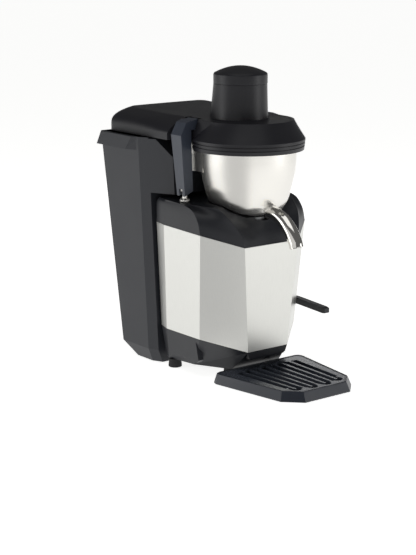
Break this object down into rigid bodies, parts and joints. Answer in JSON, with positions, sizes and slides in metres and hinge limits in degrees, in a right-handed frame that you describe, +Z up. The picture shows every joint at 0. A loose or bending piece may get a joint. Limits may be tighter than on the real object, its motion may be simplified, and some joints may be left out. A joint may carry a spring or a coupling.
{
  "type": "centrifugal juicer",
  "caption": "Bench juicer with a six-sided steel body, a steel bowl with a bent spout, a black lid with a feed tube, a rear pulp bin and a ribbed drip tray.",
  "frame": {"origin": "middle of the whole machine's footprint, on the bench", "axes": "+Z up, -Y towards the spout and drip tray, +Y towards the pulp bin, +X right as seen when facing the front"},
  "size_m": [0.3, 0.524, 0.5807],
  "materials": {
    "black_plastic": "fine-grained moulded",
    "lid_plastic": "satin moulded",
    "bin_plastic": "satin moulded",
    "tray_plastic": "satin moulded",
    "brushed_steel": "brushed",
    "polished_steel": "polished",
    "dark_steel": "rolled",
    "cast_aluminium": "as cast",
    "rubber": "moulded",
    "food_rubber": "moulded",
    "copper": "enamelled wire",
    "circuit_board": "lacquered",
    "green_button": "moulded",
    "red_button": "moulded"
  },
  "bodies": {
    "housing": {"base_cover": "black_plastic", "chassis_plate": "dark_steel", "cable_gland": "rubber", "body_wrap": "brushed_steel", "rear_panel": "dark_steel", "top_cover": "black_plastic", "motor_mount_plate": "dark_steel", "motor_casing": "cast_aluminium", "stator_core": "dark_steel", "stator_winding": "copper", "motor_end_bell": "cast_aluminium", "bowl_pedestal": "cast_aluminium", "lower_bearing": "polished_steel", "upper_bearing": "polished_steel", "shaft_seal": "rubber", "bowl": "polished_steel", "juice_spout": "polished_steel", "lid": "lid_plastic", "lid_seal": "food_rubber", "switch_plate": "black_plastic", "switch_block": "black_plastic", "clamp_safety_switch": "black_plastic", "brake_module": "circuit_board", "motor_capacitor": "cast_aluminium", "foot_rear_right": "rubber", "foot_front_right": "rubber", "foot_screw_rear_right": "dark_steel", "foot_screw_front_right": "dark_steel", "shaft_bracket_right": "dark_steel", "rod_guide_right": "polished_steel", "foot_rear_left": "rubber", "foot_front_left": "rubber", "foot_screw_rear_left": "dark_steel", "foot_screw_front_left": "dark_steel", "shaft_bracket_left": "dark_steel", "rod_guide_left": "polished_steel"},
    "rotor": {"motor_shaft": "polished_steel", "rotor_core": "dark_steel", "cooling_fan": "black_plastic", "drive_hub": "cast_aluminium", "filter_basket": "polished_steel", "grater_disc": "polished_steel", "basket_nut": "black_plastic"},
    "pusher": {"pusher_stem": "lid_plastic", "pusher_cap": "lid_plastic"},
    "bin": {"pulp_bin": "bin_plastic"},
    "tray": {"drip_tray": "tray_plastic", "drip_grid": "tray_plastic"},
    "lever": {"hand_lever": "black_plastic", "cross_shaft": "polished_steel", "crank_right": "dark_steel", "crank_left": "dark_steel"},
    "rod_right": {"tie_rod_right": "polished_steel", "arm_pin_right": "polished_steel"},
    "rod_left": {"tie_rod_left": "polished_steel", "arm_pin_left": "polished_steel"},
    "arm_right": {"clamp_arm_right": "black_plastic"},
    "arm_left": {"clamp_arm_left": "black_plastic"},
    "start": {"start_button": "green_button"},
    "stop": {"stop_button": "red_button"}
  },
  "joints": [
    {"name": "basket_spin", "type": "hinge", "parent": "housing", "child": "rotor", "pos_m": [0, -0.03, 0.3], "axis": [0, 0, 1], "continuous": true},
    {"name": "pusher_slide", "type": "slide", "parent": "housing", "child": "pusher", "axis": [0, 0, 1], "range_m": [0, 0.18]},
    {"name": "bin_slide", "type": "slide", "parent": "housing", "child": "bin", "axis": [0, 1, 0], "range_m": [0, 0.25]},
    {"name": "tray_slide", "type": "slide", "parent": "housing", "child": "tray", "axis": [0, -1, 0], "range_m": [0, 0.12]},
    {"name": "lever_turn", "type": "hinge", "parent": "housing", "child": "lever", "pos_m": [0.12, 0.047, 0.118], "axis": [-1, 0, 0], "range_deg": [0, 60]},
    {"name": "rod_lift_right", "type": "slide", "parent": "housing", "child": "rod_right", "axis": [0, 0, 1], "range_m": [0, 0.02]},
    {"name": "rod_lift_left", "type": "slide", "parent": "housing", "child": "rod_left", "axis": [0, 0, 1], "range_m": [0, 0.0205]},
    {"name": "arm_swing_right", "type": "hinge", "parent": "rod_right", "child": "arm_right", "pos_m": [0.105, 0.027, 0.354], "axis": [0, 1, 0], "range_deg": [0, 60]},
    {"name": "arm_swing_left", "type": "hinge", "parent": "rod_left", "child": "arm_left", "pos_m": [-0.105, 0.027, 0.354], "axis": [0, -1, 0], "range_deg": [0, 60]},
    {"name": "start_press", "type": "slide", "parent": "housing", "child": "start", "axis": [-1, 0, 0], "range_m": [0, 0.0025], "stiffness_N_per_m": 600},
    {"name": "stop_press", "type": "slide", "parent": "housing", "child": "stop", "axis": [-1, 0, 0], "range_m": [0, 0.0025], "stiffness_N_per_m": 600}
  ],
  "couplings": [
    {"joint": "lever_turn", "follows": "rod_lift_right", "rad_per_m": 52.35},
    {"joint": "rod_lift_left", "follows": "rod_lift_right", "ratio": 1}
  ]
}
